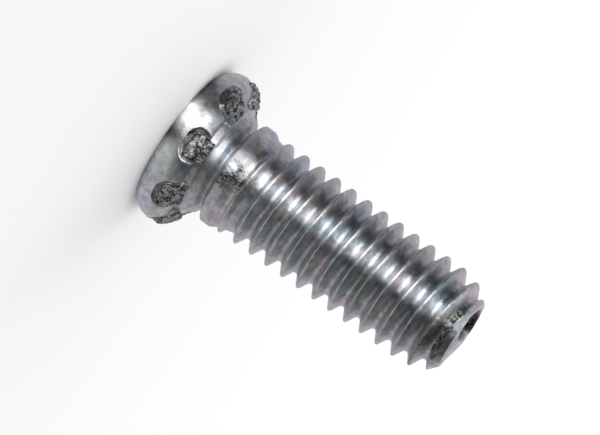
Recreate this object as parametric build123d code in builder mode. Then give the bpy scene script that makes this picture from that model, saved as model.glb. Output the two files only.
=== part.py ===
from build123d import *
import os
from math import ceil, radians, tan

# Rail connector screw: a self-clinching stud, headed and rolled from one length of steel.
# Millimetres. The flat face of the head lies on the XY plane, centred on the origin,
# and the shank points up along +Z. One of the lugs lies along -Y.
overall_length = 17.83

# Head, a thick round disc with a full rounded rim
head_diameter = 8.82
head_flat_diameter = 7.84
flat_edge_height = 0.3
flat_edge_diameter = 8.4
rim_height = 1.06
underside_height = 0.93

# Ring that steps down from the rounded underside
ring_foot_diameter = 6.8
ring_top_diameter = 6.46
ring_height = 0.3

# Lugs that bite into the sheet, standing round the ring
lug_count = 8
lug_width = 1.4
lug_reach = 0.45
lug_corner_drop = 0.07
lug_start_above_rim = 0.08

# Neck, the groove that the sheet flows into
neck_diameter = 4.84
neck_fall = 0.73
neck_rise = 0.31

# Collar, the plain shoulder that fills the hole in the sheet
collar_diameter = 5.92
collar_length = 0.54
collar_taper_length = 0.36
collar_taper_diameter = 5.44

# Rolled thread
thread_is_left_hand = True
thread_diameter = 5.82
thread_pitch = 1.0
thread_depth = 0.6
thread_flank_angle = 30.0
thread_start_above_collar = 0.11
run_in_length = 1.7

# Point, where the last turns fade out above a bevel and a small hollow
fade_length = 1.15
bevel_length = 0.5
bevel_diameter = 5.1
point_face_diameter = 3.94
cup_diameter = 3.3
cup_depth = 0.35
cup_wall_slope = 50.0

# How far the lugs and the ridge of the thread are sunk into the metal that carries them
lug_sink = 0.2
ridge_sink = 0.08

# How far the shapes that trim the thread stand clear of its crests
trim_margin = 0.2

# Heights above the flat face of the head
head_height = rim_height + underside_height
ring_top = head_height + ring_height
neck_bottom = ring_top + neck_fall
collar_start = neck_bottom + neck_rise
collar_end = collar_start + collar_length
taper_end = collar_end + collar_taper_length
run_in_end = taper_end + run_in_length
bevel_start = overall_length - bevel_length
fade_start = bevel_start - fade_length

# Radii of the thread
crest_radius = thread_diameter / 2
root_radius = crest_radius - thread_depth

# The ridge is wound from equal shares of a turn, each of them turned and raised from the last
shares_in_turn = 3
share_rise = thread_pitch / shares_in_turn
share_angle = 360 / shares_in_turn * (-1 if thread_is_left_hand else 1)
thread_start = collar_start + thread_start_above_collar
share_count = ceil((overall_length + thread_pitch - thread_start) / share_rise)

# The blank: everything that is round about the axis
with BuildPart() as blank:
    with BuildSketch(Plane.XZ):
        with BuildLine():
            Polyline(
                (0, 0),
                (head_flat_diameter / 2, 0),
                (flat_edge_diameter / 2, flat_edge_height),
            )
            TangentArc(
                (head_diameter / 2, rim_height),
                (flat_edge_diameter / 2, flat_edge_height),
                tangent=(0, -1),
            )
            TangentArc(
                (head_diameter / 2, rim_height),
                (ring_foot_diameter / 2, head_height),
                tangent=(0, 1),
            )
            Polyline(
                (ring_foot_diameter / 2, head_height),
                (ring_top_diameter / 2, ring_top),
                (neck_diameter / 2, neck_bottom),
                (collar_diameter / 2, collar_start),
                (collar_diameter / 2, collar_end),
                (collar_taper_diameter / 2, taper_end),
                (root_radius, run_in_end),
                (root_radius, overall_length),
                (0, overall_length),
                (0, 0),
            )
        make_face()
    revolve(axis=Axis.Z)

# One lug on the +X side: its back goes on upwards from the rim and its end is level with the ring
with BuildPart() as lug:
    with BuildSketch(Plane.XZ):
        with BuildLine():
            lug_foot = (head_diameter / 2, rim_height + lug_start_above_rim)
            lug_end = (ring_top_diameter / 2 + lug_reach, ring_top - lug_corner_drop)
            TangentArc(lug_foot, lug_end, tangent=(0, 1))
            Polyline(
                lug_end,
                (ring_top_diameter / 2 + lug_reach - lug_corner_drop, ring_top),
                (ring_top_diameter / 2 - lug_sink, ring_top),
                (ring_top_diameter / 2 - lug_sink, rim_height + lug_start_above_rim),
                lug_foot,
            )
        make_face()
    extrude(amount=lug_width / 2, both=True)

# One share of a turn of the thread's ridge, swept round the root
with BuildPart() as ridge_share:
    with BuildLine():
        share_path = Helix(
            pitch=thread_pitch,
            height=share_rise,
            radius=root_radius,
            center=(0, 0, thread_start),
            lefthand=thread_is_left_hand,
        )
    half_foot = (thread_depth + ridge_sink) * tan(radians(thread_flank_angle))
    with BuildSketch(Plane(origin=share_path @ 0, x_dir=(1, 0, 0), z_dir=share_path % 0)):
        with BuildLine():
            Polyline(
                (-ridge_sink, -half_foot),
                (thread_depth, 0),
                (-ridge_sink, half_foot),
                close=True,
            )
        make_face()
    sweep(path=share_path, is_frenet=True)

# The whole ridge: share on share from inside the collar, its crests fading towards the point
with BuildPart() as ridge:
    places = [Location((0, 0, n * share_rise), (0, 0, n * share_angle)) for n in range(share_count)]
    with Locations(*places):
        add(ridge_share.part)
    fade_slope = (crest_radius - bevel_diameter / 2) / fade_length
    with BuildSketch(Plane.XZ):
        with BuildLine():
            Polyline(
                (0, thread_start - thread_pitch),
                (crest_radius + trim_margin, thread_start - thread_pitch),
                (crest_radius + trim_margin, fade_start - trim_margin / fade_slope),
                (bevel_diameter / 2, bevel_start),
                (bevel_diameter / 2, overall_length),
                (0, overall_length),
                close=True,
            )
        make_face()
    revolve(axis=Axis.Z, mode=Mode.INTERSECT)

# The screw: blank, lugs and thread as one piece, with a bevel round its end and a hollow in it
with BuildPart() as screw:
    add(blank.part)
    with PolarLocations(0, lug_count):
        add(lug.part)
    add(ridge.part)
    with BuildSketch(Plane.XZ):
        with BuildLine():
            Polyline(
                (point_face_diameter / 2, overall_length),
                (bevel_diameter / 2, bevel_start),
                (bevel_diameter / 2 + trim_margin, bevel_start),
                (bevel_diameter / 2 + trim_margin, overall_length),
                close=True,
            )
        make_face()
    revolve(axis=Axis.Z, mode=Mode.SUBTRACT)
    with BuildSketch(Plane.XY.offset(overall_length)):
        Circle(cup_diameter / 2)
    extrude(amount=-cup_depth, taper=cup_wall_slope, mode=Mode.SUBTRACT)

screw.part.label = "screw"
os.makedirs("parts", exist_ok=True)
export_step(screw.part, "parts/screw.step")
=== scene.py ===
# %% [markdown]
# # A rail connector screw, seen close
# The real thing is a stud that is pressed into a steel rail. It is struck and rolled from one
# length of wire, then plated with bright zinc. It has a thick round head with eight small lugs,
# a groove, a plain collar and a coarse thread. Everything here is one skin of metal, so this
# lesson builds one closed mesh and spends the rest of its effort on how plated steel takes light.
# The screw stands on the flat of its head, with its axis along Z.

# %% Load the frame
from math import atan2, cos, hypot, pi, radians, sin, tan

import bmesh
import bpy
from mathutils import Matrix, Vector, noise


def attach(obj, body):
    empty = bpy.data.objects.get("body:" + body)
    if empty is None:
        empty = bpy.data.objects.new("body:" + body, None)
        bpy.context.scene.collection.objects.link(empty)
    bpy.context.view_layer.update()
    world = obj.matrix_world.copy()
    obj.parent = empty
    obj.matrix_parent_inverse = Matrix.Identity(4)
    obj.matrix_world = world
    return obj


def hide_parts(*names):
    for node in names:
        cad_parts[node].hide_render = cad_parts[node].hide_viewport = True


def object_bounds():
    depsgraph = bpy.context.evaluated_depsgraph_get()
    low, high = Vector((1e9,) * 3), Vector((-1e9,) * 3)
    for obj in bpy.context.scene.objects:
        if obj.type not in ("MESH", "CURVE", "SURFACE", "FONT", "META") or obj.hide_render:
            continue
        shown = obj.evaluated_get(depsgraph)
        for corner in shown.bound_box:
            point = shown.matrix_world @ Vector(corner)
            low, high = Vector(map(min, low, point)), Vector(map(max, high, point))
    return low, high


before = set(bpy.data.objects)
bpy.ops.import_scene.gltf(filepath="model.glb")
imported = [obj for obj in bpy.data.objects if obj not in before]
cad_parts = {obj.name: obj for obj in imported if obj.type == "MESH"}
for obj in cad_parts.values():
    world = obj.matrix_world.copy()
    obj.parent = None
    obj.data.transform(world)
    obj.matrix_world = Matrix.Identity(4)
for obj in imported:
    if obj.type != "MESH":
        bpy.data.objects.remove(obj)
cad_low, cad_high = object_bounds()
MM = 0.001
print("the frame is", [round((high - low) / MM, 2) for low, high in zip(cad_low, cad_high)], "mm")

# %% [markdown]
# ## Sizes
# The box of the frame gives the height and the width of the head. The other sizes are those of
# the solid that is replaced, in metres, so each surface lies where the frame has it. Only the
# shelf and the wall in the neck are finer than that solid, whose neck is a plain cone.

# %% Sizes of the screw
tip_height = cad_high.z
head_radius = cad_high.x
flat_radius = 3.92 * MM
flat_edge_radius = 4.2 * MM
flat_edge_height = 0.3 * MM
rim_height = 1.06 * MM
rim_curve = 1.48 * MM
bulge_radius = 0.93 * MM
ring_foot_radius = 3.4 * MM
ring_foot_height = 1.98 * MM
ring_top_radius = 3.23 * MM
ring_top_height = 2.29 * MM
shelf_radius = 3.02 * MM
shelf_height = 2.4 * MM
wall_radius = 2.84 * MM
wall_end = 2.74 * MM
neck_radius = 2.42 * MM
neck_bottom = 3.0 * MM
neck_end = 3.05 * MM
collar_radius = 2.96 * MM
collar_start = 3.33 * MM
collar_end = 3.87 * MM
taper_radius = 2.72 * MM
taper_end = 4.23 * MM
run_in_end = 5.93 * MM
crest_radius = 2.91 * MM
root_radius = 2.31 * MM
pitch = 1.0 * MM
thread_phase = 0.44 * MM
face_radius = 1.97 * MM
print("the shank is", round((tip_height - ring_top_height) / pitch, 1), "pitches long")

# %% [markdown]
# ## Profiles
# A turned or struck form is a profile swept round an axis, and Blender's spin does just that.
# A profile is easiest to control as a chain of short runs: straight lines and arcs, each with
# its own number of points, so that a tight corner gets more of them than a long flat.

# %% Runs of a profile
def line(start, stop, count):
    """Points from start to stop, without the last one."""
    return [Vector(start).lerp(Vector(stop), i / count) for i in range(count)]


def arc(centre, radius, first, last, count):
    """Points on an arc between two angles in degrees, without the last one."""
    angles = [radians(first + (last - first) * i / count) for i in range(count)]
    return [Vector((centre[0] + radius * cos(a), centre[1] + radius * sin(a))) for a in angles]


def smooth_step(value, low, high):
    """Nought below low, one above high and an easy curve between."""
    share = min(max((value - low) / (high - low), 0.0), 1.0)
    return share * share * (3 - 2 * share)


def softer_max(a, b, width):
    """The larger of two lengths, with the corner between them rounded over a width."""
    share = max(width - abs(a - b), 0.0) / width
    return max(a, b) + share * share * width / 4


print("an arc of four steps has", len(arc((0, 0), 1, 0, 90, 4)), "points without its last one")

# %% [markdown]
# ## The head
# Every lug stands in a shallow pocket that the tool left round it. One way would be to cut and
# add blocks, which leaves ragged joints. Here the head is spun along its plain profile. A second
# profile runs through a lug and has as many points, so each vertex can slide from the first to
# the second by how near it is to a lug. The skin stays whole.

# %% Plain profile of the head
flat_end = (flat_radius - 0.05 * MM, 0)
bevel_start = (flat_radius + 0.04 * MM, 0.04 * MM)
rim_centre = (head_radius - rim_curve, rim_height)
underside_centre = (head_radius - bulge_radius, rim_height)
ring_foot = (ring_foot_radius, ring_foot_height)
ring_top = (ring_top_radius, ring_top_height)
up_to_lugs = (
    line((0, 0), flat_end, 10)
    + line(flat_end, bevel_start, 2)
    + line(bevel_start, (flat_edge_radius, flat_edge_height), 3)
    + arc(rim_centre, rim_curve, -30.9, -9, 8)
)
plain_run = (
    arc(rim_centre, rim_curve, -9, 0, 4)
    + arc(underside_centre, bulge_radius, 0, 100, 24)
    + line(ring_foot, ring_top, 8)
)
print("the plain head has", len(up_to_lugs) + len(plain_run), "points from its centre to the ring")

# %% Profile through a lug
pocket_start = (head_radius - 0.02 * MM, 0.84 * MM)
pocket_wall = (head_radius - 0.2 * MM, 1.0 * MM)
pocket_floor = (head_radius - 0.24 * MM, 1.26 * MM)
lug_foot = (head_radius - 0.07 * MM, 1.44 * MM)
lug_back_radius = 1.235 * MM
lug_back_centre = (head_radius - lug_back_radius, rim_height)
lug_shoulder = (3.68 * MM, 2.2 * MM)
lug_corner = (3.6 * MM, ring_top_height)
lug_run = (
    line(pocket_start, pocket_wall, 4)
    + line(pocket_wall, pocket_floor, 3)
    + line(pocket_floor, lug_foot, 3)
    + arc(lug_back_centre, lug_back_radius, 20, 66, 16)
    + line(lug_shoulder, lug_corner, 2)
    + line(lug_corner, ring_top, 8)
)
assert len(plain_run) == len(lug_run)
print(len(lug_run), "points of the profile slide into a lug")

# %% Profile of the neck and the collar
shelf_edge = (shelf_radius, shelf_height)
wall_foot = (wall_radius, wall_end)
neck_fillet = 0.14 * MM
collar_round = 0.08 * MM
seam = 0.02 * MM
shank_run = (
    line(ring_top, shelf_edge, 2)
    + line(shelf_edge, wall_foot, 4)
    + line(wall_foot, (neck_radius + 0.06 * MM, neck_bottom - 0.06 * MM), 3)
    + arc((neck_radius + neck_fillet, neck_bottom + 0.03 * MM), neck_fillet, 215, 165, 4)
    + line(
        (neck_radius + 0.05 * MM, neck_end + 0.05 * MM),
        (collar_radius - 0.06 * MM, collar_start - 0.05 * MM),
        3,
    )
    + arc((collar_radius - collar_round, collar_start + 0.05 * MM), collar_round, -50, 0, 3)
    + line((collar_radius, collar_start + 0.06 * MM), (collar_radius, collar_end - seam), 4)
    + [Vector((collar_radius, collar_end - seam))]
)
first_lug_station = len(up_to_lugs)
head_profile = up_to_lugs + plain_run + shank_run
print("the head's profile has", len(head_profile), "points up to the end of the collar")

# %% Spin the head
lug_count = 8
steps_per_lug = 48
lug_half_angle = radians(10.4)
pocket_half_angle = radians(12.6)
pocket_depth = 0.12 * MM


def chain(mesh, points):
    """A row of vertices in the XZ plane, joined by edges."""
    verts = [mesh.verts.new((point.x, 0, point.y)) for point in points]
    return verts, [mesh.edges.new(pair) for pair in zip(verts, verts[1:])]


body = bmesh.new()
station = body.verts.layers.int.new("station")
bitten = body.verts.layers.float.new("bitten")
stained = body.verts.layers.float.new("stained")
brushed = body.verts.layers.float.new("brushed")
verts, edges = chain(body, head_profile)
for number, vert in enumerate(verts):
    vert[station] = number
bmesh.ops.spin(
    body,
    geom=verts + edges,
    axis=(0, 0, 1),
    angle=2 * pi,
    steps=lug_count * steps_per_lug,
    use_merge=True,
)
print("the spun head has", len(body.faces), "faces")


# %% Raise the lugs
def crowd(share, edge, half):
    """Spaces the steps between two lugs so that most of them gather at the lug's edge."""
    if share < 0.5:
        return edge * (1 - (1 - 2 * share) ** 1.6)
    return edge + (half - edge) * (2 * share - 1) ** 1.6


def at_angle(radius, height, angle):
    """The place at a radius and height, turned round the axis."""
    return Vector((radius * cos(angle), radius * sin(angle), height))


half_sector = pi / lug_count
scraped_lug = -0.75 * pi
grain_size = 4.5
grain_depth = 0.07 * MM
for vert in body.verts:
    radius = hypot(vert.co.x, vert.co.y)
    if radius < 0.01 * MM:
        continue
    angle = atan2(vert.co.y, vert.co.x)
    nearest = round(angle / (2 * half_sector)) * 2 * half_sector
    offset = angle - nearest
    side = 1 if offset >= 0 else -1
    offset = side * crowd(abs(offset) / half_sector, lug_half_angle, half_sector)
    height = vert.co.z
    number = vert[station] - first_lug_station
    if 0 <= number < len(plain_run):
        # The lower end of a lug is round, so its width grows as on a circle, over ten points
        rounding = (1 - (1 - min(max((number - 3) / 10, 0), 1)) ** 2) ** 0.5
        begun = smooth_step(rounding, 0.0, 0.6)
        wobble = 0.012 * noise.noise(Vector((nearest * 9, number * 0.25, side)))
        reach = abs(offset) + wobble
        lug_edge = lug_half_angle * rounding
        pocket_edge = pocket_half_angle * rounding
        on_lug = begun * (1 - smooth_step(reach, lug_edge - 0.014, lug_edge + 0.012))
        in_pocket = begun * (1 - smooth_step(reach, pocket_edge - 0.02, pocket_edge + 0.02))
        sunk = in_pocket * (1 - smooth_step(number, 20, 28))
        plain = plain_run[number] - plain_run[number].normalized() * pocket_depth * sunk
        spot = plain.lerp(lug_run[number], on_lug)
        radius, height = spot.x, spot.y
        vert[bitten] = on_lug * smooth_step(number, 6, 9)
        # The border of each lug, its pocket and the foot of its lower wall are painted dark as shade;
        # the scraped lug keeps less of it
        painted_edge_shade = 1 - abs(2 * on_lug - 1)
        if side > 0 and abs(nearest - scraped_lug) < half_sector:
            painted_edge_shade = 0.3 * painted_edge_shade
            sunk = 0
        painted_foot_shade = on_lug * smooth_step(number, 2, 4) * (1 - smooth_step(number, 7, 10))
        vert[stained] = max(painted_edge_shade, 0.6 * sunk * (1 - on_lug), 0.7 * painted_foot_shade)
    vert.co = at_angle(radius, height, nearest + offset)

bmesh.ops.remove_doubles(body, verts=body.verts, dist=0.002 * MM)
body.normal_update()
for vert in body.verts:
    if vert[bitten] > 0.9:
        grain = noise.fractal(vert.co / MM * grain_size, 0.7, 2.1, 4)
        vert.co += vert.normal * grain_depth * (grain - 0.3)
print("the head now has", lug_count, "lugs")

# %% [markdown]
# ## The thread
# A thread is one ridge wound round the shank. Spin can climb while it turns, so a profile of
# exactly one pitch, from one root to the next, closes on itself turn after turn. The crests and
# roots are rounded in the profile, because a rolled thread has no knife edge. Spinning one turn
# and copying it upwards is much quicker than spinning them all.

# %% Profile of one pitch
flank_angle = 30
turn_to_flank = 90 - flank_angle
crest_round = 0.08 * MM
thread_depth = crest_radius - root_radius
root_round = pitch / 2 / tan(radians(flank_angle)) - thread_depth - crest_round

flank_foot = Vector((root_radius + root_round / 2, root_round * sin(radians(turn_to_flank))))
flank_end = pitch / 2 - crest_round * sin(radians(turn_to_flank))
flank_top = Vector((crest_radius - crest_round / 2, flank_end))
rise = (
    arc((root_radius + root_round, 0), root_round, 180, 180 - turn_to_flank, 3)
    + line(flank_foot, flank_top, 3)
    + arc((crest_radius - crest_round, pitch / 2), crest_round, -turn_to_flank, 0, 2)
)
crest_point = Vector((crest_radius, pitch / 2))
fall = [Vector((point.x, pitch - point.y)) for point in reversed(rise)]
pitch_profile = rise + [crest_point] + fall
print("a pitch has", len(pitch_profile), "points and a root round to", round(root_round / MM, 2), "mm")

# %% Wind the thread
steps_per_turn = 192
turns = round(tip_height / pitch) - 1
first_height = thread_phase + 1.5 * pitch
thread = bmesh.new()
verts, edges = chain(thread, [point + Vector((0, first_height)) for point in pitch_profile])
bmesh.ops.spin(
    thread,
    geom=verts + edges,
    axis=(0, 0, 1),
    dvec=(0, 0, pitch / steps_per_turn),
    angle=-2 * pi,
    steps=steps_per_turn,
)
first_turn = thread.verts[:] + thread.edges[:] + thread.faces[:]
for turn in range(1, turns):
    copied = bmesh.ops.duplicate(thread, geom=first_turn)["geom"]
    copied_verts = [part for part in copied if isinstance(part, bmesh.types.BMVert)]
    bmesh.ops.translate(thread, verts=copied_verts, vec=(0, 0, turn * pitch))
bmesh.ops.remove_doubles(thread, verts=thread.verts, dist=0.002 * MM)
print("the wound thread has", len(thread.faces), "faces")

# %% [markdown]
# ## Where the thread begins and ends
# The dies roll the first turns shallow, and the bevelled end of the wire gives them too little
# metal at the point. Two flat cuts trim the winding to length. Then each vertex keeps its height
# and only its distance from the axis is limited.

# %% Trim and fade the thread
for height, normal in ((collar_end, 1), (tip_height - seam, -1)):
    bmesh.ops.bisect_plane(
        thread,
        geom=thread.verts[:] + thread.edges[:] + thread.faces[:],
        dist=0.001 * MM,
        plane_co=(0, 0, height),
        plane_no=(0, 0, normal),
        clear_inner=True,
    )


def floor_radius(height):
    """The uncut metal under the first turns."""
    if height < taper_end:
        share = (height - collar_end) / (taper_end - collar_end)
        return collar_radius + (taper_radius - collar_radius) * share
    share = min((height - taper_end) / (run_in_end - taper_end), 1)
    return taper_radius + (root_radius - taper_radius) * share


fade_sink = 0.34 * MM
point_slope = 1.05


def faded_radius(radius, height):
    """The thread's radius after the run-in, the taper of the point and its bevel."""
    radius = softer_max(radius, floor_radius(height), 0.03 * MM)
    if height - collar_end < 0.01 * MM:
        radius = collar_radius
    sink = fade_sink * smooth_step(height, tip_height - 2.1 * MM, tip_height - 0.2 * MM)
    bevel = face_radius + 0.01 * MM + (tip_height - height) * point_slope
    return -softer_max(-(radius - sink), -bevel, 0.05 * MM)


for vert in thread.verts:
    radius = hypot(vert.co.x, vert.co.y)
    angle = atan2(vert.co.y, vert.co.x)
    ripple = 1 + 0.0035 * noise.noise(vert.co / MM * 0.9) + 0.002 * noise.noise(vert.co / MM * 3.5)
    wanted = faded_radius(radius, vert.co.z)
    if vert.co.z - collar_end > 0.01 * MM:
        torn = smooth_step(vert.co.z, tip_height - 2.2 * MM, tip_height - 0.8 * MM)
        ripple -= 0.018 * torn * abs(noise.fractal(vert.co / MM * 2.4, 0.8, 2.1, 4))
        wanted = min(wanted * ripple, crest_radius)
    vert.co = at_angle(wanted, vert.co.z, angle)
print("the trimmed thread has", len(thread.faces), "faces")

# %% [markdown]
# ## The point
# The dies roll metal over the bevel, so a real point is hollow to one side with a torn lip.
# A spun disc is pressed in with a shallow oval bowl that sits off the axis.

# %% Press in the end face
face = bmesh.new()
spoke = line((face_radius, tip_height), (0, tip_height), 24)
verts, edges = chain(face, spoke + [Vector((0, tip_height))])
bmesh.ops.spin(
    face,
    geom=verts + edges,
    axis=(0, 0, 1),
    angle=2 * pi,
    steps=steps_per_turn,
    use_merge=True,
)
bmesh.ops.remove_doubles(face, verts=face.verts, dist=0.002 * MM)
hollow_centre = Vector((-0.65 * MM, 0.35 * MM))
hollow_half = Vector((0.95 * MM, 1.65 * MM))
hollow_depth = 0.4 * MM


def in_hollow(x, y):
    """One inside the oval hollow, nought outside it."""
    across = (x - hollow_centre.x) / hollow_half.x
    along = (y - hollow_centre.y) / hollow_half.y
    return 1 - smooth_step(hypot(across, along), 0.8, 1.1)


for vert in face.verts:
    edge = hypot(vert.co.x, vert.co.y) / face_radius
    grain = noise.fractal(vert.co / MM * 2.2, 0.8, 2.1, 4)
    depth = hollow_depth * in_hollow(vert.co.x, vert.co.y) + 0.04 * MM * abs(grain)
    vert.co.z -= depth * (1 - smooth_step(edge, 0.86, 0.99))
print("the end face has", len(face.faces), "faces")


# %% Join the three skins
def take_in(target, source, layer):
    """Copies one bmesh into another, and marks what is not on the head as station -1."""
    kept = bpy.data.meshes.new("kept")
    source.to_mesh(kept)
    source.free()
    before = len(target.verts)
    target.from_mesh(kept)
    target.verts.ensure_lookup_table()
    for vert in target.verts[before:]:
        vert[layer] = -1
    bpy.data.meshes.remove(kept)


def open_edges(mesh, low, high):
    """The open border edges whose ends both lie between two heights."""
    return [
        edge for edge in mesh.edges
        if edge.is_boundary and all(low <= vert.co.z <= high for vert in edge.verts)
    ]


take_in(body, thread, station)
take_in(body, face, station)
for height in (collar_end, tip_height):
    border = open_edges(body, height - 1.5 * seam, height + 1.5 * seam)
    bmesh.ops.bridge_loops(body, edges=border)
left_open = [edge for edge in body.edges if edge.is_boundary]
print("open edges left:", len(left_open), "faces:", len(body.faces))
bmesh.ops.recalc_face_normals(body, faces=body.faces)

# %% [markdown]
# ## Wear, dark marks and painted shade
# The cropped end of the wire is lower on one side and its lip is uneven. The hollow of the end face
# and a band across the last groove on the near side are painted dark, and the collar and the first
# turns are scuffed on one side. A line of painted shade runs beside each crest.
# Three numbers on each vertex tell the material where that is: how bitten it is, how dark it is
# painted, which covers these marks and the painted shade on the head, and how brushed it is.

# %% Crop the end and mark the worn places, the dark marks and the painted shade
def hump(value, low, high, fade):
    """One between low and high, with an easy slope to nought outside them."""
    return smooth_step(value, low - fade, low) * (1 - smooth_step(value, high, high + fade))


tip = tip_height / MM
end_radius = face_radius / MM + 0.02
groove_low = tip - 0.65
groove_high = tip - 0.35
scuff_low = collar_start / MM + 0.07
scuff_high = run_in_end / MM - 0.73
full_thread = run_in_end / MM - 0.53
for vert in body.verts:
    x, y, z = vert.co / MM
    radius = hypot(x, y)
    facing = atan2(-x, -y) / pi * 180
    patch = 0.5 + noise.fractal(vert.co / MM * 1.6, 0.8, 2.1, 3)
    if z > tip - 0.9:
        far_side = smooth_step(y, -0.5, 1.8)
        low_side = smooth_step(x, 0.2, 1.6) * smooth_step(y, -1.2, 1.2)
        lip = noise.noise(Vector((x * 1.3, y * 1.3, 4.0)))
        share = smooth_step(z, tip - 0.9, tip - 0.1)
        vert.co.z -= share * MM * (0.04 * far_side + 0.11 * low_side + 0.05 * max(lip, 0))
        in_cup = in_hollow(x * MM, y * MM)
        on_end = 1 if radius < end_radius and z > tip - 0.53 else 0
        groove = hump(z, groove_low, groove_high, 0.12) * hump(facing, -46, 26, 14) * (1 - on_end)
        # The hollow of the end face and a band across the last groove on the near side are painted
        # dark and speckled
        vert[stained] = max(in_cup * on_end, groove * min(max(patch, 0), 1))
        vert[bitten] = max(0.5 * in_cup * on_end, 0.8 * groove)
    elif z > collar_start / MM:
        scuff = hump(z, scuff_low, scuff_high, 0.25) * hump(facing, -17, 9, 8)
        fading = 1 - 0.5 * smooth_step(z, 4.2, 4.8)
        vert[bitten] = scuff * min(max(patch + 0.3, 0), 1) * fading
        # Both flanks just under each crest of the full thread are painted darker, a line of painted
        # shade beside the bright crest
        vert[stained] = 0.5 * hump(radius, 2.74, 2.84, 0.04) if z > full_thread else 0
    if radius < ring_foot_radius / MM + 0.03 and ring_foot_height < vert.co.z < taper_end:
        vert[brushed] = 1
print("the end is cropped and", len(body.verts), "vertices know their wear")

# %% Hand the skin to one object
for a_face in body.faces:
    a_face.smooth = True
for edge in body.edges:
    edge.smooth = edge.calc_face_angle(0) < radians(38)
screw_mesh = bpy.data.meshes.new("plated_screw")
body.to_mesh(screw_mesh)
body.free()
screw = bpy.data.objects.new("plated_screw", screw_mesh)
bpy.context.collection.objects.link(screw)
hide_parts("screw")
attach(screw, "root")
print("the screw has", len(screw_mesh.polygons), "faces")

# %% [markdown]
# ## Bright zinc
# Plated steel is a metal with a thin clear skin. Its colour is nearly grey, but the skin tints it
# blue, mauve and straw in cloudy patches, and the rolling leaves fine rings round the shank.

# %% A wire that does sums
class Wire:
    """One output of a shader node. Arithmetic on wires adds Math nodes to the same tree."""

    def __init__(self, tree, socket):
        self.tree = tree
        self.socket = socket

    def beside(self, name):
        """Another output of the same node."""
        return Wire(self.tree, self.socket.node.outputs[name])

    def __add__(self, other):
        return maths(self.tree, "ADD", self, other)

    def __radd__(self, other):
        return maths(self.tree, "ADD", other, self)

    def __sub__(self, other):
        return maths(self.tree, "SUBTRACT", self, other)

    def __rsub__(self, other):
        return maths(self.tree, "SUBTRACT", other, self)

    def __mul__(self, other):
        return maths(self.tree, "MULTIPLY", self, other)

    def __rmul__(self, other):
        return maths(self.tree, "MULTIPLY", other, self)

    def __truediv__(self, other):
        return maths(self.tree, "DIVIDE", self, other)

    def __rtruediv__(self, other):
        return maths(self.tree, "DIVIDE", other, self)


# %% One way to add a node
def add_node(tree, kind, settings, sockets, output=0):
    """Adds a node: its settings first, then the values or wires of its sockets."""
    node = tree.nodes.new(kind)
    for name, value in settings.items():
        if name == "stops":
            for place, colour in value[2:]:
                node.color_ramp.elements.new(place)
            for element, (place, colour) in zip(node.color_ramp.elements, value):
                element.position = place
                element.color = (*colour, 1)
        else:
            setattr(node, name, value)
    for name, value in sockets.items():
        if isinstance(value, Wire):
            tree.links.new(value.socket, node.inputs[name])
        else:
            node.inputs[name].default_value = value
    return Wire(tree, node.outputs[output]) if len(node.outputs) else None


def maths(tree, operation, *values):
    """One sum on numbers or wires."""
    return add_node(tree, "ShaderNodeMath", {"operation": operation}, dict(enumerate(values)))


def mix_colour(tree, share, first, second):
    """First colour at share nought, second at one."""
    settings = {"data_type": "RGBA"}
    colours = [value if isinstance(value, Wire) else (*value, 1) for value in (first, second)]
    return add_node(tree, "ShaderNodeMix", settings, {0: share, 6: colours[0], 7: colours[1]}, 2)


def ramp(tree, value, low, high):
    """Nought at low, one at high, with an easy curve."""
    settings = {"interpolation_type": "SMOOTHSTEP"}
    sockets = {"Value": value, "From Min": low, "From Max": high}
    return add_node(tree, "ShaderNodeMapRange", settings, sockets)


def vertex_mark(tree, layer):
    """What a vertex knows of its own wear, dark marks and painted shade."""
    return add_node(tree, "ShaderNodeAttribute", {"attribute_name": layer}, {}, "Fac")


def empty_material(name):
    """A material with nothing in its tree yet."""
    material = bpy.data.materials.new(name)
    material.use_nodes = True
    material.node_tree.nodes.clear()
    return material


# %% The zinc
def cloud(tree, place, scale, detail, stretch=(1, 1, 1)):
    """Noise on the screw's own coordinates, its scale in lumps a millimetre."""
    sized = tuple(part * scale / MM for part in stretch)
    spot = add_node(tree, "ShaderNodeMapping", {}, {"Vector": place, "Scale": sized})
    sockets = {"Vector": spot, "Scale": 1.0, "Detail": detail, "Roughness": 0.6}
    return add_node(tree, "ShaderNodeTexNoise", {}, sockets)


def zinc_colour(tree, place, small, pits, bite, shade_and_marks):
    """Grey with rainbow clouds and freckles, dark crystals where bitten, and dark brown speckle on the
    painted shade and the dark marks.
    """
    broad = cloud(tree, place, 0.6, 3)
    tints = cloud(tree, place, 0.9, 4, (1.3, 1, 1))
    grey = mix_colour(tree, ramp(tree, small, 0.35, 0.65), (0.34, 0.37, 0.41), (0.64, 0.65, 0.67))
    blue = mix_colour(tree, ramp(tree, broad, 0.5, 0.64) * 0.6, grey, (0.36, 0.46, 0.51))
    mauve = mix_colour(tree, ramp(tree, broad, 0.5, 0.36) * 0.55, blue, (0.54, 0.46, 0.50))
    straw = mix_colour(tree, ramp(tree, tints, 0.52, 0.66) * 0.5, mauve, (0.50, 0.49, 0.37))
    freckled = mix_colour(tree, ramp(tree, pits, 0.55, 0.66) * 0.45, straw, (0.20, 0.20, 0.23))
    lights = ramp(tree, pits * 0.55 + small * 0.45, 0.43, 0.60)
    crystals = mix_colour(tree, lights, (0.025, 0.03, 0.035), (0.54, 0.55, 0.56))
    rough_metal = mix_colour(tree, ramp(tree, bite, 0.2, 0.8), freckled, crystals)
    # Painted shade in the lug pockets, along the lug borders and beside the crests, and the dark marks
    # at the point, turn dark brown with pale speckle
    speckle = ramp(tree, pits, 0.52, 0.62)
    shade_and_marks_colour = mix_colour(tree, speckle, (0.06, 0.045, 0.038), (0.40, 0.37, 0.34))
    return mix_colour(tree, shade_and_marks, rough_metal, shade_and_marks_colour)


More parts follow.
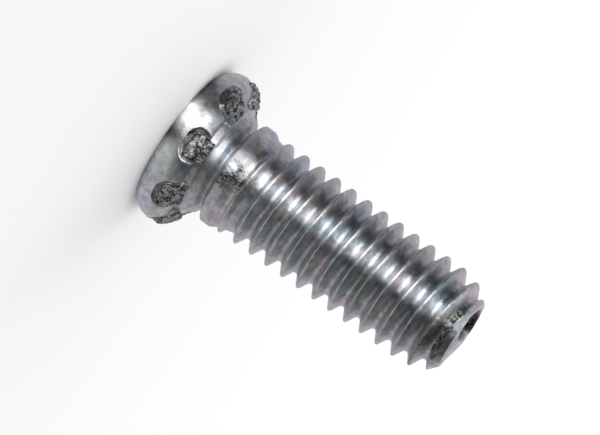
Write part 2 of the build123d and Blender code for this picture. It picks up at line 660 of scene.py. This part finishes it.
def zinc_material():
    """Bright zinc with its rainbow clouds, rolling rings and bitten places."""
    material = empty_material("bright_zinc")
    tree = material.node_tree
    place = add_node(tree, "ShaderNodeTexCoord", {}, {}, "Object")
    bite = vertex_mark(tree, "bitten")
    shade_and_marks = vertex_mark(tree, "stained")
    brush = vertex_mark(tree, "brushed")
    small = cloud(tree, place, 2.2, 5)
    rings = cloud(tree, place, 1.2, 4, (1, 1, 8))
    grit = cloud(tree, place, 13.0, 2)
    pits = cloud(tree, place, 8.5, 5)

    relief = rings * (0.5 + brush * 1.3) + small * 0.6 + grit * 1.1 + bite * pits * 3.0
    dents = {"Strength": 0.5, "Distance": 0.03 * MM, "Height": relief}
    sockets = {
        "Base Color": zinc_colour(tree, place, small, pits, bite, shade_and_marks),
        "Metallic": 1.0,
        "Roughness": 0.22 + small * 0.2 + bite * 0.12 + shade_and_marks * 0.15 + brush * 0.06,
        "Anisotropic": 0.85,
        "Anisotropic Rotation": 0.25,
        "Normal": add_node(tree, "ShaderNodeBump", {}, dents),
    }
    shader = add_node(tree, "ShaderNodeBsdfPrincipled", {}, sockets)
    add_node(tree, "ShaderNodeOutputMaterial", {}, {"Surface": shader})
    print("the zinc has", len(tree.nodes), "nodes")
    return material


screw_mesh.materials.append(zinc_material())

# %% [markdown]
# ## Floor and world
# The floor is a wide sheet of pale matt paper, so that it keeps only a soft shadow at the foot of
# the head. It has no gloss, or it would mirror the tent that comes next. The world is a plain
# pale grey that fills the shadow.

# %% Floor
floor_radius = 3.0
floor_mesh = bmesh.new()
bmesh.ops.create_circle(floor_mesh, cap_ends=True, segments=96, radius=floor_radius)
floor_data = bpy.data.meshes.new("studio_floor")
floor_mesh.to_mesh(floor_data)
floor_mesh.free()
floor = bpy.data.objects.new("studio_floor", floor_data)
bpy.context.collection.objects.link(floor)
paper = empty_material("floor_paper")
matt = {"Base Color": (0.95, 0.95, 0.95, 1), "Roughness": 0.9, "Specular IOR Level": 0.0}
sheet = add_node(paper.node_tree, "ShaderNodeBsdfPrincipled", {}, matt)
add_node(paper.node_tree, "ShaderNodeOutputMaterial", {}, {"Surface": sheet})
floor_data.materials.append(paper)
print("the floor is", 2 * floor_radius, "m across")

# %% World
world = bpy.data.worlds.new("studio")
world.use_nodes = True
world.node_tree.nodes["Background"].inputs["Color"].default_value = (0.7, 0.7, 0.705, 1)
bpy.context.scene.world = world
print("the world is", world.name)

# %% [markdown]
# ## The light tent
# Metal has hardly any colour of its own. What the eye reads as metal is what stands round it. So
# the screw stands in a jeweller's light tent, a round one with a roof and a floor cloth. Pale, dark
# and bright cards hang on it. Only reflections see the tent, and the floor is lit by the lamp and
# the world. A card is a stop on a colour ramp: round the ring and the cloth the place is an angle,
# and on the roof it is how far a card lies to one side.

# %% Cards of the tent
neutral = (1.0, 1.0, 1.0)
cool = (0.86, 0.94, 1.0)
warm = (1.0, 0.96, 0.90)
violet = (1.0, 0.94, 1.0)


def card(place, level, tint=neutral):
    """A stop on a row of cards: its place from nought to one, and its colour."""
    return place, tuple(level * part for part in tint)


def turned(degrees):
    """The place on the ring of an angle from the camera's side towards -X."""
    return (degrees + 180) / 360


ring_cards = [
    card(turned(-180), 0.7, violet),
    card(turned(-112), 0.62, violet),
    card(turned(-98), 0.55, warm),
    card(turned(-36), 0.5, warm),
    card(turned(-25), 0.02, violet),
    card(turned(-1), 0.02, violet),
    card(turned(9), 1.0),
    card(turned(37), 1.0),
    card(turned(50), 0.04, cool),
    card(turned(86), 0.05, cool),
    card(turned(104), 0.56, violet),
    card(turned(180), 0.7, violet),
]
cloth_cards = [
    card(turned(-180), 0.42, violet),
    card(turned(-42), 0.42, violet),
    card(turned(-28), 0.5, warm),
    card(turned(-16), 0.62, warm),
    card(turned(-8), 0.3, warm),
    card(turned(-3), 0.08, violet),
    card(turned(1), 0.1, violet),
    card(turned(7), 0.6),
    card(turned(13), 1.0),
    card(turned(24), 1.0),
    card(turned(31), 0.4, warm),
    card(turned(38), 0.1, violet),
    card(turned(52), 0.08, violet),
    card(turned(64), 0.36, violet),
    card(turned(180), 0.42, violet),
]
roof_reach = 0.6
roof_cards = [
    card(0.0, 0.6, violet),
    card(0.15, 0.7),
    card(0.3, 1.0),
    card(0.5, 0.9, warm),
    card(0.57, 0.3, warm),
    card(0.61, 0.02, violet),
    card(0.93, 0.03, violet),
    card(0.97, 0.5),
    card(1.0, 0.6, violet),
]
print("the tent has", len(ring_cards) + len(cloth_cards) + len(roof_cards), "cards")

# %% Material of the cards
dark_flag = (0.03, 0.028, 0.03)
flag_share = 0.7
flag_foot = 9 * MM
flag_top = 18 * MM
card_strength = 1.0
strip_strength = 4.0
cloth_strength = 1.7
cloth_glow = 3.2
tent_radius = 20 * MM
tent_height = 60 * MM


def distance_of(tree, first, second):
    """The long side of a right angle."""
    return maths(tree, "SQRT", first * first + second * second)


def cards_on(tree, cards, place):
    """The colour of a row of cards at a place."""
    return add_node(tree, "ShaderNodeValToRGB", {"stops": cards}, {"Fac": place})


def flag_colour(tree, turn, z, level):
    """Hangs one dark flag in front of the cards, beside the upper half of the thread."""
    flag = ramp(tree, turn, turned(-78), turned(-62)) * ramp(tree, turn, turned(-12), turned(-22))
    flag = flag * ramp(tree, z, flag_foot, flag_top)
    return mix_colour(tree, flag * flag_share, level, dark_flag)


def card_material():
    """Light of its own: by the angle round the screw on the ring, by the side on the roof."""
    material = empty_material("tent_cards")
    tree = material.node_tree
    place = add_node(tree, "ShaderNodeTexCoord", {}, {}, "Object")
    x = add_node(tree, "ShaderNodeSeparateXYZ", {}, {"Vector": place}, "X")
    y = x.beside("Y")
    z = x.beside("Z")
    turn = maths(tree, "ARCTAN2", 0 - x, 0 - y) / (2 * pi) + 0.5
    away = distance_of(tree, x, y)
    reach = distance_of(tree, away, z)
    ring = cards_on(tree, ring_cards, turn)
    roof = cards_on(tree, roof_cards, x / reach / (2 * roof_reach) + 0.5)
    cloth = cards_on(tree, cloth_cards, turn)

    off_cloth = ramp(tree, z, 0.5 * MM, 1.0 * MM)
    level = mix_colour(tree, off_cloth, cloth, ring)
    level = mix_colour(tree, ramp(tree, z, 0.4 * tent_height, 0.65 * tent_height), level, roof)
    level = flag_colour(tree, turn, z, level)

    # The brightest cards of the ring and the cloth are lamps, and the cloth under the rim of the head
    # is dimmed, a painted shadow of the head that the rim reflects
    strip = ramp(tree, ring, 0.85, 1.0) * ramp(tree, z, 0.6 * tent_height, 0.4 * tent_height)
    bright = strip * (strip_strength - card_strength) + card_strength
    glow = ramp(tree, cloth, 0.7, 1.0) * (cloth_glow - cloth_strength) + cloth_strength
    clear_of_painted_shadow = ramp(tree, away, 0.8 * head_radius, 1.02 * head_radius)
    clear_of_painted_shadow = maths(tree, "MAXIMUM", clear_of_painted_shadow, off_cloth)
    strength = clear_of_painted_shadow * (off_cloth * bright + (1 - off_cloth) * glow)
    light = add_node(tree, "ShaderNodeEmission", {}, {"Color": level, "Strength": strength})
    add_node(tree, "ShaderNodeOutputMaterial", {}, {"Surface": light})
    return material


# %% Hang the tent
floor_clearance = 0.02 * MM
tent_mesh = bmesh.new()
bmesh.ops.create_cone(
    tent_mesh,
    cap_ends=True,
    segments=96,
    radius1=tent_radius,
    radius2=tent_radius,
    depth=tent_height,
    matrix=Matrix.Translation((0, 0, tent_height / 2 + floor_clearance)),
)
tent_data = bpy.data.meshes.new("light_tent")
tent_mesh.to_mesh(tent_data)
tent_mesh.free()
tent_data.materials.append(card_material())
tent = bpy.data.objects.new("light_tent", tent_data)
tent.visible_camera = False
tent.visible_diffuse = False
tent.visible_shadow = False
tent.visible_transmission = False
bpy.context.collection.objects.link(tent)
print("the tent is", round(2 * tent_radius / MM), "mm wide and", round(tent_height / MM), "mm high")

# %% [markdown]
# ## Lamp and camera
# One large soft box behind and above lights the floor evenly, and the shadow stays near the head.
# The camera has the photograph's viewing angle: a long lens, close to level with the screw, and
# rolled so that the shank points down to the right.

# %% Lamp
def soft_box(name, direction, distance, size, watts, aim):
    """A square lamp at a distance along a direction, turned to face a point."""
    data = bpy.data.lights.new(name, "AREA")
    data.shape = "SQUARE"
    data.size = size
    data.energy = watts
    lamp = bpy.data.objects.new(name, data)
    lamp.location = aim + Vector(direction).normalized() * distance
    lamp.rotation_mode = "QUATERNION"
    lamp.rotation_quaternion = (lamp.location - aim).to_track_quat("Z", "Y")
    bpy.context.collection.objects.link(lamp)
    return lamp


middle = Vector((0, 0, tip_height / 2))
back_box = soft_box("back_box", (-0.25, 0.75, 1.0), 0.5, 0.5, 1.3, middle)
print("the soft box hangs", round(back_box.location.z, 2), "m above the floor")

# %% Camera
roll = radians(35.5)
tilt = radians(9.9)
distance = 0.28
pixels_per_metre = 19530
photo_width = 600
aim_height = 7.46 * MM
aim_pixel = Vector((298.6, 219.5))
photo_centre = Vector((300, 217.5))

back = Vector((0, -cos(tilt), sin(tilt)))
along = Vector((0, sin(tilt), cos(tilt)))
across = Vector((-1, 0, 0))
right = along * cos(roll) + across * sin(roll)
up = across * cos(roll) - along * sin(roll)
shift = (photo_centre - aim_pixel) / pixels_per_metre
target = Vector((0, 0, aim_height)) + right * shift.x - up * shift.y
camera_data = bpy.data.cameras.new("photo_camera")
camera = bpy.data.objects.new("photo_camera", camera_data)
camera_data.sensor_width = 36
camera_data.lens = pixels_per_metre * distance * camera_data.sensor_width / photo_width
camera_data.clip_start = 0.01
camera_data.clip_end = 10
camera.matrix_world = Matrix((
    (right.x, up.x, back.x, (target + back * distance).x),
    (right.y, up.y, back.y, (target + back * distance).y),
    (right.z, up.z, back.z, (target + back * distance).z),
    (0, 0, 0, 1),
))
bpy.context.collection.objects.link(camera)
bpy.context.scene.camera = camera
bpy.context.scene.view_settings.view_transform = "Standard"
print("the camera is", distance, "m away with a lens of", round(camera_data.lens), "mm")
